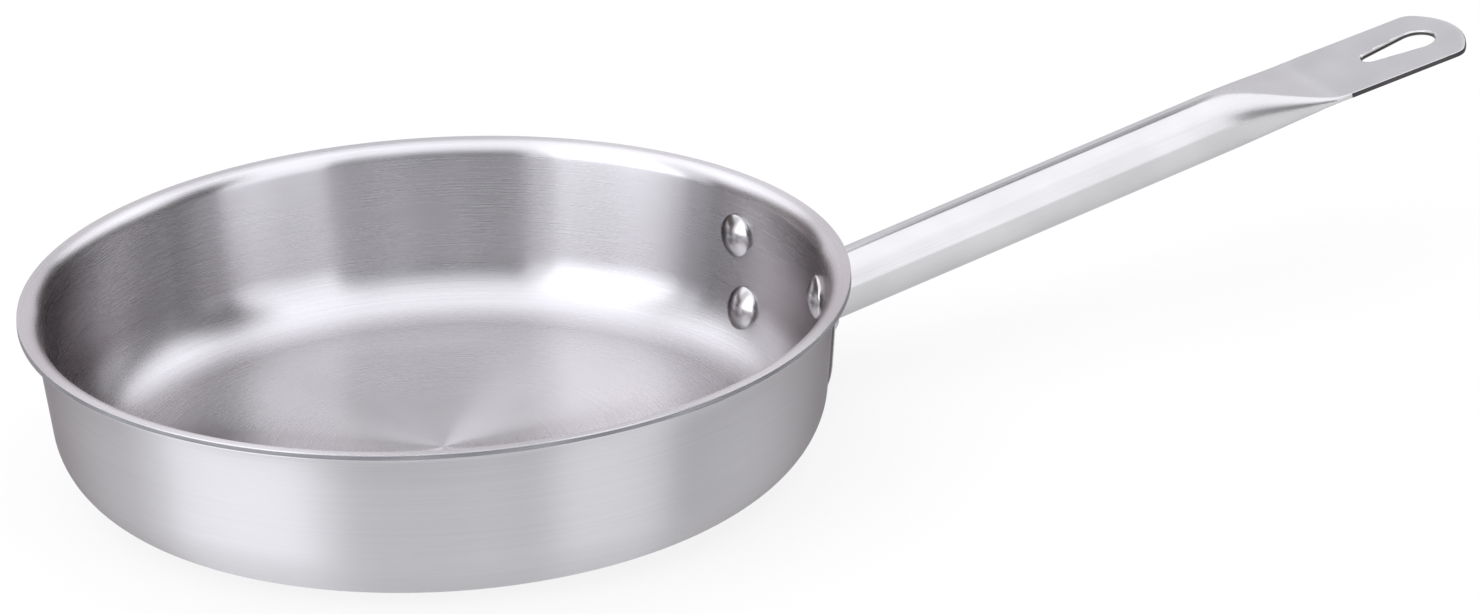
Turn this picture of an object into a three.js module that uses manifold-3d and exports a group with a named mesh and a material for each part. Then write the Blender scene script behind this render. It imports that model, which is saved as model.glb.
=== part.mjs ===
// Shallow frying pan: a clad steel bowl with a pouring lip and one riveted tubular handle.
// Millimetres, +Z up. The origin is the centre of the base's underside, and the handle runs along +X.
import * as THREE from "three";
import { mergeVertices } from "three/addons/utils/BufferGeometryUtils.js";
import Module from "manifold-3d";

const wasm = await Module();
wasm.setup();

const { degToRad } = THREE.MathUtils;
const QUARTER = Math.PI / 2;

// Bowl
const RIM_RADIUS = 120; // outermost edge of the lip
const PAN_HEIGHT = 52.2; // table to the lip's top edge
const CORNER_RADIUS = 20.5; // outside bend between base and wall
const WALL_DRAFT = degToRad(6); // the wall's lean from upright
const LIP_ANGLE = degToRad(87); // the lip's lean from upright
const LIP_BEND = 2.4; // bend under the lip, on the outer surface
const LIP_FLANGE = 2.5; // straight run of the lip beyond its bend

// Clad sheet, from the outside in
const OUTER_PLY = 0.4;
const CORE_PLY = 1;
const INNER_PLY = 0.4;
const BOND = 0.02; // hairline between bonded plies

// Handle, measured along its axis from below the lip's edge
const HANDLE_HEIGHT = 24.4; // the axis below the lip's edge, above the table
const HANDLE_RISE = degToRad(11.4);
const TUBE_RADIUS = 9.6;
const TUBE_WALL = 0.8;
const TUBE_LENGTH = 135; // round stretch
const PRESS_LENGTH = 37; // stretch pressed from round to flat
const TAB_LENGTH = 51.6;
const TAB_WIDTH = 35.5;
const TAB_TILT = degToRad(1.9); // the tab dips from the tube's line
const TAB_DROP = 0.2; // the tab's middle below the tube's axis
const TAB_TIP_RADIUS = 25;
const TAB_TIP_CORNER = 5; // rounds the tip into the tab's sides
const TAB_CHAMFER = 0.3;

// Hanging hole, a teardrop between two circles, placed from the tab's tip
const HOLE_WIDE_RADIUS = 6;
const HOLE_NARROW_RADIUS = 3;
const HOLE_SPAN = 15.8; // between the circles' centres
const HOLE_MARGIN = 7.9; // metal left at the tip

// Bracket between bowl and tube
const BRACKET_SHEET = 2;
const BRACKET_EDGE = 9.5; // rivet centre to the bracket's edge
const BOSS_ROOT_RADIUS = 16.5; // drawn boss where it leaves the plate
const BOSS_WALL = 1.6;
const BOSS_REACH = 7; // tube's root to the boss's mouth
const BOSS_GRIP = 3.4; // length of tube held in the boss's mouth

// Rivets, two rows of two
const UPPER_RISE = 11.4; // upper row above the handle's height
const LOWER_DROP = 9.9; // lower row below the handle's height
const UPPER_SPREAD = 56; // between the two rivets of a row
const LOWER_SPREAD = 45;
const SHANK_RADIUS = 3;
const HEAD_RADIUS = 6.6;
const HEAD_DOME = 2.2;
const HEAD_SKIRT = 1; // upright rim below the dome
const TAIL_RADIUS = 5;
const TAIL_DOME = 1.3;
const TAIL_SKIRT = 0.7;

const SEAT_GAP = 0.3; // between pieces that seat on each other

// Facets
const BOWL_FACETS = 60;
const CORNER_STEPS = 5;
const LIP_STEPS = 4;
const ROUND_FACETS = 24;
const RIVET_FACETS = 16;
const PRESS_STEPS = 6;
const DOME_STEPS = 3;
const HOLE_STEPS = 8;
const TIP_STEPS = 8;

// Sizes that follow
const SHEET = OUTER_PLY + CORE_PLY + INNER_PLY + 2 * BOND;
const PLATE_BACK = -SEAT_GAP;
const PLATE_FRONT = PLATE_BACK - BRACKET_SHEET;
const BORE_RADIUS = TUBE_RADIUS + SEAT_GAP;
const UPPER_ROW = HANDLE_HEIGHT + UPPER_RISE;
const LOWER_ROW = HANDLE_HEIGHT - LOWER_DROP;
const CREASE = TUBE_LENGTH + PRESS_LENGTH;
const TAB_SHEET = 2 * TUBE_WALL; // both walls of the tube pressed together

const polar = (radius, angle) =>
  new THREE.Vector2(Math.cos(angle), Math.sin(angle)).multiplyScalar(radius);

// The lip's bend is centred outside the wall. The lip's top edge and outer edge place it.
const lipCentre = new THREE.Vector2(
  RIM_RADIUS + LIP_BEND * Math.cos(LIP_ANGLE) - LIP_FLANGE * Math.sin(LIP_ANGLE),
  PAN_HEIGHT - (LIP_BEND + SHEET) * Math.sin(LIP_ANGLE) - LIP_FLANGE * Math.cos(LIP_ANGLE),
);
const wallNormal = polar(1, -WALL_DRAFT);
const wallTop = lipCentre.clone().addScaledVector(wallNormal, -LIP_BEND);
const wallOffset = wallTop.dot(wallNormal);
const baseRadius =
  (wallOffset - CORNER_RADIUS * (1 - Math.sin(WALL_DRAFT))) / Math.cos(WALL_DRAFT);
const cornerCentre = new THREE.Vector2(baseRadius, CORNER_RADIUS);

// Points of an arc about a centre, ends included.
function arc(centre, radius, from, to, steps) {
  const at = (_, i) => polar(radius, from + ((to - from) * i) / steps).add(centre);
  return Array.from({ length: steps + 1 }, at);
}

// Base corner and wall of a surface that lies a depth inside the bowl's outer surface.
function wallCurve(depth) {
  const corner = arc(cornerCentre, CORNER_RADIUS - depth, -QUARTER, -WALL_DRAFT, CORNER_STEPS);
  return [...corner, wallTop.clone().addScaledVector(wallNormal, -depth)];
}

// The whole surface at a depth, from the axis to the lip's edge.
function sheetCurve(depth) {
  const bend = arc(
    lipCentre,
    LIP_BEND + depth,
    Math.PI - WALL_DRAFT,
    Math.PI - LIP_ANGLE,
    LIP_STEPS,
  );
  const edge = polar(LIP_FLANGE, QUARTER - LIP_ANGLE).add(bend.at(-1));
  return [new THREE.Vector2(0, depth), ...wallCurve(depth), ...bend.slice(1), edge];
}

// The place on a surface at a given height: its radius, and how far its normal points down.
function wallSpot(height, depth) {
  const radius = CORNER_RADIUS - depth;
  const tilt = Math.max(Math.asin((CORNER_RADIUS - height) / radius), WALL_DRAFT);
  const onCorner = baseRadius + radius * Math.cos(tilt);
  const onWall =
    (wallOffset - depth + height * Math.sin(WALL_DRAFT)) / Math.cos(WALL_DRAFT);
  return { radius: tilt > WALL_DRAFT ? onCorner : onWall, tilt };
}

// A geometry as a closed solid that can be joined and cut.
function solid(geometry) {
  const bare = geometry.clone();
  bare.deleteAttribute("normal");
  bare.deleteAttribute("uv");
  const merged = mergeVertices(bare);
  return new wasm.Manifold(
    new wasm.Mesh({
      numProp: 3,
      vertProperties: merged.getAttribute("position").array,
      triVerts: new Uint32Array(merged.index.array),
    }),
  );
}

// A solid's surface as a geometry.
function surface(body) {
  const { vertProperties, triVerts } = body.getMesh();
  const geometry = new THREE.BufferGeometry();
  geometry.setAttribute("position", new THREE.BufferAttribute(vertProperties, 3));
  geometry.setIndex(new THREE.BufferAttribute(triVerts, 1));
  geometry.computeVertexNormals();
  return geometry;
}

// A profile of radius and height turned about Z.
function turned(profile, facets) {
  return new THREE.LatheGeometry(profile, facets).rotateX(QUARTER);
}

// A profile that closes on itself, turned about Z.
function turnedRing(profile, facets) {
  return turned([...profile, profile[0]], facets);
}

// A rod about Z between two heights.
function rod(radius, low, high, facets) {
  const profile = [
    new THREE.Vector2(0, low),
    new THREE.Vector2(radius, low),
    new THREE.Vector2(radius, high),
    new THREE.Vector2(0, high),
  ];
  return turned(profile, facets);
}

// The sheet between two depths, the shallower one outside.
function sheetBetween(shallow, deep) {
  return solid(turned([...sheetCurve(shallow), ...sheetCurve(deep).reverse()], BOWL_FACETS));
}

// The wall between two depths, with the shallower one outside.
function wallBetween(shallow, deep) {
  return solid(turnedRing([...wallCurve(shallow), ...wallCurve(deep).reverse()], BOWL_FACETS));
}

// Everything inside a surface at a depth, closed off above the wall.
function wallFilled(depth) {
  const curve = wallCurve(depth);
  const foot = new THREE.Vector2(0, curve[0].y);
  const lid = new THREE.Vector2(0, curve.at(-1).y);
  return solid(turned([foot, ...curve, lid], BOWL_FACETS));
}

// Where each rivet goes: a frame whose +Z points into the pan, on the middle of the sheet.
const rivetPlaces = [
  { row: "upper", height: UPPER_ROW, spread: UPPER_SPREAD },
  { row: "lower", height: LOWER_ROW, spread: LOWER_SPREAD },
].flatMap(({ row, height, spread }) =>
  [1, -1].map((side) => {
    const { radius, tilt } = wallSpot(height, SHEET / 2);
    const turn = Math.asin((side * spread) / 2 / radius);
    const inward = new THREE.Vector3(-Math.cos(tilt), 0, Math.sin(tilt));
    const frame = new THREE.Matrix4().makeRotationZ(turn);
    frame.multiply(new THREE.Matrix4().makeTranslation(radius, 0, height));
    const lean = new THREE.Quaternion().setFromUnitVectors(new THREE.Vector3(0, 0, 1), inward);
    frame.multiply(new THREE.Matrix4().makeRotationFromQuaternion(lean));
    const name = `rivet_${row}_${side > 0 ? "left" : "right"}`;
    return { name, frame };
  }),
);

// A body with a clearance hole for every rivet.
function withRivetHoles(body) {
  const reach = SHEET + BRACKET_SHEET + HEAD_DOME;
  const cut = (rest, { frame }) => {
    const hole = rod(SHANK_RADIUS + SEAT_GAP, -reach, reach, RIVET_FACETS);
    return rest.subtract(solid(hole.applyMatrix4(frame)));
  };
  return rivetPlaces.reduce(cut, body);
}

// A domed head with an upright skirt, rising along Z from its foot.
function domedHead(radius, foot, skirtTop, dome) {
  const ball = (radius ** 2 + dome ** 2) / (2 * dome);
  const centre = new THREE.Vector2(0, skirtTop + dome - ball);
  const cap = arc(centre, ball, Math.acos(radius / ball), QUARTER, DOME_STEPS);
  return turned([new THREE.Vector2(0, foot), new THREE.Vector2(radius, foot), ...cap], RIVET_FACETS);
}

// A rivet through a stack: domed head inside the pan, shank, and peened tail outside.
function rivet(frame, stack) {
  const placed = (shape) => solid(shape.applyMatrix4(frame));
  const inside = SHEET / 2;
  const outside = inside - PLATE_FRONT;
  const head = placed(domedHead(HEAD_RADIUS, 0, inside + HEAD_SKIRT, HEAD_DOME));
  const tailShape = domedHead(TAIL_RADIUS, inside, outside + TAIL_SKIRT, TAIL_DOME);
  const tail = placed(tailShape.rotateX(Math.PI));
  const shank = rod(SHANK_RADIUS, -outside - TAIL_SKIRT, inside + HEAD_SKIRT, RIVET_FACETS);
  return head.add(tail).subtract(stack).add(placed(shank));
}

// The handle's own frame: +X along the tube, from below the lip's edge.
const handle = new THREE.Group();
handle.position.set(RIM_RADIUS, 0, HANDLE_HEIGHT);
handle.rotation.y = -HANDLE_RISE;
handle.updateMatrix();

// Distance along the handle at which its axis, raised by a lift, meets a radius.
const along = (radius, lift) =>
  (radius - RIM_RADIUS + lift * Math.sin(HANDLE_RISE)) / Math.cos(HANDLE_RISE);
const tubeRoot = along(
  wallSpot(HANDLE_HEIGHT + TUBE_RADIUS, PLATE_BACK).radius,
  TUBE_RADIUS,
);
const bossMouth = tubeRoot + BOSS_REACH;
const bossFoot = along(wallSpot(HANDLE_HEIGHT, PLATE_FRONT).radius, 0);

// A closed body through rings of equal point count, with flat ends.
function loft(rings) {
  const count = rings[0].length;
  const last = (rings.length - 1) * count;
  const index = [];
  for (let ring = 0; ring < last; ring += count) {
    for (let i = 0; i < count; i++) {
      const next = (i + 1) % count;
      index.push(ring + i, ring + count + next, ring + count + i);
      index.push(ring + i, ring + next, ring + count + next);
    }
  }
  for (let i = 1; i < count - 1; i++) {
    index.push(0, i + 1, i);
    index.push(last, last + i, last + i + 1);
  }
  const geometry = new THREE.BufferGeometry().setFromPoints(rings.flat());
  return geometry.setIndex(index);
}

// The tube's section where it is pressed by a share: round at 0, and flat as the tab at 1.
function pressedRing(distance, share, inset) {
  const half = THREE.MathUtils.lerp(TUBE_RADIUS, TAB_SHEET / 2, share);
  const straight = (TAB_WIDTH / 2 - TAB_SHEET / 2) * share;
  const middle = -TAB_DROP * share;
  const side = (sign) =>
    arc(
      new THREE.Vector2(sign * straight, middle),
      half - inset,
      -sign * QUARTER,
      -sign * QUARTER + Math.PI,
      ROUND_FACETS / 2,
    );
  const place = ({ x, y }) => new THREE.Vector3(distance, x, y);
  return [...side(1), ...side(-1)].map(place);
}

// Share of the pressing along its stretch: soft where it leaves the tube, sharp at the crease.
const pressShare = (t) => t * t * (2 - t);

// Rings of the tube from its root to a share of the pressed stretch.
function tubeRings(root, pressed, inset) {
  const rings = [pressedRing(root, 0, inset)];
  for (let i = 0; i <= PRESS_STEPS; i++) {
    const t = (pressed * i) / PRESS_STEPS;
    rings.push(pressedRing(TUBE_LENGTH + PRESS_LENGTH * t, pressShare(t), inset));
  }
  return rings;
}

// The tab's outline along X from behind the crease. Its tip is an arc with rounded corners.
function tabOutline(overlap) {
  const half = TAB_WIDTH / 2 - TAB_CHAMFER;
  const offSide = TAB_WIDTH / 2 - TAB_TIP_CORNER;
  const reach = TAB_TIP_RADIUS - TAB_TIP_CORNER;
  const turn = Math.asin(Math.min(1, offSide / reach));
  const tip = new THREE.Vector2(TAB_LENGTH - TAB_TIP_RADIUS, 0);
  const corner = (side, from, to) => {
    const centre = new THREE.Vector2(tip.x + reach * Math.cos(turn), side * offSide);
    return arc(centre, TAB_TIP_CORNER - TAB_CHAMFER, from, to, TIP_STEPS);
  };
  const outline = new THREE.Shape([
    new THREE.Vector2(-overlap, half),
    new THREE.Vector2(-overlap, -half),
    ...corner(-1, -QUARTER, -turn),
    ...arc(tip, TAB_TIP_RADIUS - TAB_CHAMFER, -turn, turn, TIP_STEPS).slice(1, -1),
    ...corner(1, turn, QUARTER),
  ]);
  outline.holes.push(teardrop());
  return outline;
}

// The hanging hole: two circles and the straight lines that touch both.
function teardrop() {
  const wide = HOLE_WIDE_RADIUS + TAB_CHAMFER;
  const narrow = HOLE_NARROW_RADIUS + TAB_CHAMFER;
  const wideAt = TAB_LENGTH - HOLE_MARGIN - HOLE_WIDE_RADIUS;
  const touch = Math.acos((narrow - wide) / HOLE_SPAN);
  const outline = new THREE.Path();
  outline.absarc(wideAt, 0, wide, touch, -touch, true);
  outline.absarc(wideAt - HOLE_SPAN, 0, narrow, -touch, touch - 2 * Math.PI, true);
  outline.closePath();
  return outline;
}

// The flat tab with chamfered edges, laid in the handle's frame.
function tabPlate() {
  const plate = new THREE.ExtrudeGeometry(tabOutline(TAB_SHEET), {
    depth: TAB_SHEET - 2 * TAB_CHAMFER,
    bevelEnabled: true,
    bevelSegments: 1,
    bevelSize: TAB_CHAMFER,
    bevelThickness: TAB_CHAMFER,
    curveSegments: HOLE_STEPS,
  });
  plate.translate(0, 0, TAB_CHAMFER - TAB_SHEET / 2);
  return plate.rotateY(TAB_TILT).translate(CREASE, 0, -TAB_DROP);
}

// The tube, hollow from its root to where its walls are pressed together, with its tab.
function handleTube() {
  const outside = solid(loft(tubeRings(tubeRoot, 1, 0)));
  const pressedShut = 1 - TUBE_WALL / TUBE_RADIUS;
  const hollow = solid(loft(tubeRings(tubeRoot - TUBE_WALL, pressedShut, TUBE_WALL)));
  return outside.add(solid(tabPlate())).subtract(hollow);
}

// The bracket's outline seen along X: a rectangle rounded about the outer rivets' places.
function bracketOutline() {
  const half = Math.max(UPPER_SPREAD, LOWER_SPREAD) / 2;
  const outline = new THREE.Shape();
  outline.absarc(half, LOWER_ROW, BRACKET_EDGE, -QUARTER, 0, false);
  outline.absarc(half, UPPER_ROW, BRACKET_EDGE, 0, QUARTER, false);
  outline.absarc(-half, UPPER_ROW, BRACKET_EDGE, QUARTER, 2 * QUARTER, false);
  outline.absarc(-half, LOWER_ROW, BRACKET_EDGE, 2 * QUARTER, 3 * QUARTER, false);
  outline.closePath();
  return outline;
}

// The boss drawn out of the plate round the tube, as a ring about Z.
function boss() {
  const deep = bossFoot - BOSS_ROOT_RADIUS;
  const inner = BOSS_ROOT_RADIUS - BOSS_WALL;
  const neck = bossMouth - BOSS_GRIP;
  const profile = [
    new THREE.Vector2(inner, deep),
    new THREE.Vector2(BOSS_ROOT_RADIUS, deep),
    new THREE.Vector2(BOSS_ROOT_RADIUS, bossFoot),
    new THREE.Vector2(BORE_RADIUS + BOSS_WALL, bossMouth),
    new THREE.Vector2(BORE_RADIUS, bossMouth),
    new THREE.Vector2(BORE_RADIUS, neck),
    new THREE.Vector2(inner, bossFoot - BOSS_WALL),
  ];
  return turnedRing(profile, ROUND_FACETS);
}

// The bracket: a plate that follows the wall, with the boss that holds the tube.
function handleBracket() {
  const blank = new THREE.ExtrudeGeometry(bracketOutline(), {
    depth: RIM_RADIUS,
    bevelEnabled: false,
    curveSegments: HOLE_STEPS,
  });
  const window = rod(BOSS_ROOT_RADIUS - BOSS_WALL / 2, -RIM_RADIUS, RIM_RADIUS, ROUND_FACETS);
  const ontoHandle = (shape) => solid(shape.rotateY(QUARTER).applyMatrix4(handle.matrix));
  const plate = wallBetween(PLATE_FRONT, PLATE_BACK)
    .intersect(solid(blank.rotateX(QUARTER).rotateZ(QUARTER)))
    .subtract(ontoHandle(window));
  return withRivetHoles(plate.add(ontoHandle(boss()).subtract(wallFilled(PLATE_BACK))));
}

const finishes = {
  satinSteel: { color: 0xc4c4c6, roughness: 0.34, metalness: 1 },
  aluminium: { color: 0xb9bbbd, roughness: 0.45, metalness: 1 },
  polishedSteel: { color: 0xd9d9db, roughness: 0.14, metalness: 1 },
};

// A named piece of the pan.
function piece(name, body, finish) {
  const mesh = new THREE.Mesh(surface(body), new THREE.MeshStandardMaterial(finish));
  mesh.name = name;
  return mesh;
}

const coreStart = OUTER_PLY + BOND;
const linerStart = coreStart + CORE_PLY + BOND;
const plies = [
  { name: "outer_ply", from: 0, to: OUTER_PLY, finish: finishes.satinSteel },
  { name: "aluminium_core", from: coreStart, to: coreStart + CORE_PLY, finish: finishes.aluminium },
  { name: "inner_ply", from: linerStart, to: SHEET, finish: finishes.satinSteel },
];

const pan = new THREE.Group();
for (const { name, from, to, finish } of plies) {
  pan.add(piece(name, withRivetHoles(sheetBetween(from, to)), finish));
}
pan.add(piece("handle_bracket", handleBracket(), finishes.satinSteel));
const bracketStack = wallBetween(PLATE_FRONT - SEAT_GAP, SHEET + SEAT_GAP);
const stack = bracketStack.add(sheetBetween(0, SHEET + SEAT_GAP));
for (const { name, frame } of rivetPlaces) {
  pan.add(piece(name, rivet(frame, stack), finishes.polishedSteel));
}
handle.add(piece("handle_tube", handleTube(), finishes.polishedSteel));
pan.add(handle);

export default pan;
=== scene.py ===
"""Looks of a shallow frying pan: clad steel bowl, riveted bracket and pressed tube handle.

Metres, +Z up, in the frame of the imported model. The origin is the centre of the base's
underside and the handle runs along +X. Sizes are held in millimetres.
"""

import logging
import math
from collections.abc import Callable
from dataclasses import dataclass
from enum import Enum
from typing import Any, Protocol

import bmesh
import bpy
import numpy as np
from mathutils import Matrix, Vector


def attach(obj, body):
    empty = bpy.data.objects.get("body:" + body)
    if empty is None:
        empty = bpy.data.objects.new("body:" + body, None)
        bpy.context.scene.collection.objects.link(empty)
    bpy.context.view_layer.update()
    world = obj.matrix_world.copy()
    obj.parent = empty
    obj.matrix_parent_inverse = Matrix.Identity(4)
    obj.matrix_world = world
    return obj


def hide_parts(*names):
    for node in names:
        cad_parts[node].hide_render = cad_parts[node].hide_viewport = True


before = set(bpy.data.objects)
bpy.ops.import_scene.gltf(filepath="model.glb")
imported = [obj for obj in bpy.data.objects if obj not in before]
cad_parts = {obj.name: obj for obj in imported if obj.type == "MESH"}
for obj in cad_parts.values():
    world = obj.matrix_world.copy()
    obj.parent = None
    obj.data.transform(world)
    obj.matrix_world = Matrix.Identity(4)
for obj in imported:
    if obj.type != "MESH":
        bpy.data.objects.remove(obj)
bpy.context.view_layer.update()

log = logging.getLogger("frying_pan")

MM = 0.001
ROOT = "root"
QUARTER_TURN = math.pi / 2
SHARP = 40.0  # edges that turn by more than this stay sharp, in degrees
SHEARED = 0.6  # a face whose normal has less than this of the sheet's own was sheared; such faces get painted shade
ON_AXIS = 1e-9  # a radius under this is a pole
HALVINGS = 40  # enough to find a place to within rounding
LIT = "FAFAFF"  # cloth lit by daylight lamps
DARK = "FFDCD6"  # unlit cloth, warm from the room

MATH, VECTOR = "ShaderNodeMath", "ShaderNodeVectorMath"
NOISE, RANGE = "ShaderNodeTexNoise", "ShaderNodeMapRange"

Points = np.ndarray
Faces = list[tuple[int, ...]]
Span = tuple[float, float]
Socket = bpy.types.NodeSocket
Tree = bpy.types.NodeTree


class Row(Enum):
    """The two rows of rivets."""

    UPPER = "upper"
    LOWER = "lower"


class Side(Enum):
    """The side of the handle, seen from the bowl."""

    LEFT = 1
    RIGHT = -1


class Finish(Protocol):
    """A finish that can be put on a piece."""

    def material(self) -> bpy.types.Material:
        """The finish as a Blender material."""


def linear(code: str) -> tuple[float, float, float, float]:
    """An sRGB hex colour as linear RGBA.

    Args:
        code: Six hex digits, such as "C8C6C4".

    Returns:
        Red, green, blue and alpha.
    """
    shares = [int(code[i : i + 2], 16) / 255 for i in (0, 2, 4)]
    red, green, blue = (
        s / 12.92 if s <= 0.04045 else ((s + 0.055) / 1.055) ** 2.4 for s in shares
    )
    return red, green, blue, 1.0


def add_node(
    tree: Tree,
    kind: str,
    inputs: dict[str | int, Any] | tuple[Any, ...] = (),
    out: str | int = 0,
    **settings: Any,
) -> Socket | None:
    """Adds a node with its settings and links.

    Args:
        tree: The node tree to add to.
        kind: The node's type name.
        inputs: Each input socket's value, or the output socket it is linked from, by the
            input's name or number, or in order.
        out: The output that is wanted.
        settings: Attributes of the node.

    Returns:
        The output that is wanted, or None if the node has no outputs.
    """
    node = tree.nodes.new(kind)
    for name, value in settings.items():
        setattr(node, name, value)
    for socket, value in inputs.items() if isinstance(inputs, dict) else enumerate(inputs):
        if isinstance(value, Socket):
            tree.links.new(value, node.inputs[socket])
        else:
            node.inputs[socket].default_value = value
    return node.outputs[out] if len(node.outputs) else None


def new_material(name: str) -> tuple[bpy.types.Material, Tree]:
    """An empty node material.

    Args:
        name: The material's name.

    Returns:
        The material and its node tree, with no nodes in it.
    """
    material = bpy.data.materials.new(name)
    material.use_nodes = True
    material.node_tree.nodes.clear()
    return material, material.node_tree


def skin(rings: list[Points], closed: bool = False) -> tuple[Points, Faces]:
    """Faces through rings of equal point count. A ring of one point is a pole.

    Args:
        rings: Points of each ring, in order.
        closed: Whether the last ring joins the first.

    Returns:
        All the points, and the faces between neighbouring rings.
    """
    starts = np.cumsum([0] + [len(loop) for loop in rings])
    pairs = list(zip(range(len(rings) - 1), range(1, len(rings))))
    if closed:
        pairs.append((len(rings) - 1, 0))
    faces: Faces = []
    for a, b in pairs:
        count = max(len(rings[a]), len(rings[b]))
        for i in range(count):
            j = (i + 1) % count
            corners = []
            for loop, at in ((a, i), (a, j), (b, j), (b, i)):
                index = int(starts[loop]) + (at if len(rings[loop]) > 1 else 0)
                if index not in corners:
                    corners.append(index)
            faces.append(tuple(corners))
    return np.vstack(rings), faces


def grid(rows: int, columns: int) -> Faces:
    """Faces of an open sheet with so many rows and columns of points."""
    return [
        (r * columns + c, r * columns + c + 1, (r + 1) * columns + c + 1, (r + 1) * columns + c)
        for r in range(rows - 1)
        for c in range(columns - 1)
    ]


def ring(radius: float | Points, height: float, segments: int) -> Points:
    """Points of a level ring about Z.

    Args:
        radius: Its radius, for all the points or for each.
        height: Its height.
        segments: Its points.

    Returns:
        The points.
    """
    angles = np.arange(segments) * (2 * math.pi / segments)
    level = np.full(segments, height)
    return np.column_stack([radius * np.cos(angles), radius * np.sin(angles), level])


def turned(profile: Points, segments: int) -> tuple[Points, Faces]:
    """A profile of radius and height turned about Z. Points on the axis become poles."""
    return skin(
        [
            np.array([[0.0, 0.0, height]]) if radius < ON_AXIS else ring(radius, height, segments)
            for radius, height in profile
        ]
    )


def arc(centre: Points, radius: float, start: float, end: float, steps: int) -> Points:
    """Points of a flat arc from one angle to another, ends included."""
    angles = np.linspace(start, end, steps + 1)
    return centre + radius * np.column_stack([np.cos(angles), np.sin(angles)])


def straight(start: Points, end: Points, steps: int) -> Points:
    """Points of a straight run, ends included."""
    shares = np.linspace(0, 1, steps + 1)[:, None]
    return start + (end - start) * shares


def quarter_round(radius: float, steps: int) -> Points:
    """How far the points of a rounded edge lie inside the edge's two faces."""
    q = np.linspace(0, QUARTER_TURN, steps + 1)
    return radius * (1 - np.column_stack([np.sin(q), np.cos(q)]))


def eased(before: Points, corner: Points, after: Points, radius: float, steps: int) -> Points:
    """A corner eased into a curve.

    Args:
        before: A point on the line into the corner.
        corner: The sharp corner.
        after: A point on the line out of it.
        radius: How far from the corner the curve starts and ends.
        steps: Steps along the curve.

    Returns:
        Points of the curve.
    """
    start = corner + radius * (before - corner) / np.linalg.norm(before - corner)
    end = corner + radius * (after - corner) / np.linalg.norm(after - corner)
    t = np.linspace(0, 1, steps + 1)[:, None]
    return (1 - t) ** 2 * start + 2 * t * (1 - t) * corner + t**2 * end


def placed(points: Points, at: Matrix) -> Points:
    """Points of a frame, as they lie outside it."""
    matrix = np.array(at)
    return points @ matrix[:3, :3].T + matrix[:3, 3]


def halved(low: Points, high: Points, holds: Callable[[Points], Points]) -> Points:
    """The last place at which something still holds, found by halving.

    Args:
        low: Places where it holds.
        high: Places where it no longer does.
        holds: Says for each place whether it holds.

    Returns:
        The last places between them.
    """
    for _ in range(HALVINGS):
        middle = (low + high) / 2
        held = holds(middle)
        low, high = np.where(held, middle, low), np.where(held, high, middle)
    return low


def new_piece(
    name: str, points: Points, faces: Faces, sharp: float = SHARP
) -> bpy.types.Object:
    """A smooth-shaded mesh object from points in millimetres.

    Args:
        name: The object's name.
        points: Its points.
        faces: Its faces.
        sharp: Edges that turn by more than this stay sharp, in degrees.

    Returns:
        The new object, linked to the scene.
    """
    mesh = bpy.data.meshes.new(name)
    mesh.from_pydata((np.asarray(points) * MM).tolist(), [], faces)
    shape = bmesh.new()
    shape.from_mesh(mesh)
    bmesh.ops.recalc_face_normals(shape, faces=shape.faces)
    shape.to_mesh(mesh)
    shape.free()
    mesh.shade_smooth()
    mesh.set_sharp_from_angle(angle=math.radians(sharp))
    piece = bpy.data.objects.new(name, mesh)
    bpy.context.scene.collection.objects.link(piece)
    return piece


def cut(
    piece: bpy.types.Object, cutters: list[bpy.types.Object], sharp: float = SHARP
) -> None:
    """Cuts bodies out of a piece and removes the cutters.

    Args:
        piece: The piece to cut.
        cutters: Closed meshes.
        sharp: Edges that turn by more than this stay sharp, in degrees.
    """
    for cutter in cutters:
        tool = piece.modifiers.new("cut", "BOOLEAN")
        tool.operation = "DIFFERENCE"
        tool.solver = "EXACT"
        tool.object = cutter
    bpy.context.view_layer.update()
    graph = bpy.context.evaluated_depsgraph_get()
    made = bpy.data.meshes.new_from_object(piece.evaluated_get(graph))
    piece.modifiers.clear()
    piece.data = made
    made.shade_smooth()
    made.set_sharp_from_angle(angle=math.radians(sharp))
    for cutter in cutters:
        bpy.data.objects.remove(cutter)


def fit_out(piece: bpy.types.Object, node: str, finish: Finish) -> None:
    """Puts a piece on the frame in place of a CAD node and gives it its finish.

    Args:
        piece: The finished mesh.
        node: The CAD node that it stands for.
        finish: Its finish.
    """
    piece.data.materials.clear()
    piece.data.materials.append(finish.material())
    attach(piece, ROOT)
    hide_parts(node)
    log.info("%s: %d faces, stands for %s", piece.name, len(piece.data.polygons), node)


def shear(
    piece: bpy.types.Object, finish: Finish, cut_here: Callable[[Vector, Vector], bool]
) -> None:
    """Gives the cut edges of a piece their own finish.

    Args:
        piece: The piece, already fitted out.
        finish: The finish of its cut edges, dark with painted shade.
        cut_here: Says from a face's middle in millimetres and its normal whether it was cut.
    """
    # The dark finish on these faces is painted shade, not only the cut metal's own colour.
    piece.data.materials.append(finish.material())
    for face in piece.data.polygons:
        if cut_here(face.center / MM, face.normal):
            face.material_index = 1


@dataclass(frozen=True)
class BareMetal:
    """Bare metal with fine marks, which its finishes lay each in their own way."""

    name: str
    roughness: Span
    colour: str = "CDCCCC"
    shade: str = "C3C2C2"
    glancing: str = "DEDCDD"  # metal reflects less, and warmer, at a low angle
    line_depth_mm: float = 0.0006

    def dress(self, tree: Tree, worn: Socket, inputs: dict[str, Any]) -> None:
        """Adds the metal itself and the material's output.

        Args:
            tree: The material's node tree.
            worn: How much of the shade is in the colour.
            inputs: The metal's roughness, normals and other inputs.
        """
        colours = {6: linear(self.colour), 7: linear(self.shade)}
        tone = add_node(tree, "ShaderNodeMix", {0: worn, **colours}, 2, data_type="RGBA")
        own = {"Base Color": tone, "Metallic": 1.0, "Specular Tint": linear(self.glancing)}
        metal = add_node(tree, "ShaderNodeBsdfPrincipled", {**own, **inputs})
        add_node(tree, "ShaderNodeOutputMaterial", {0: metal})


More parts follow.
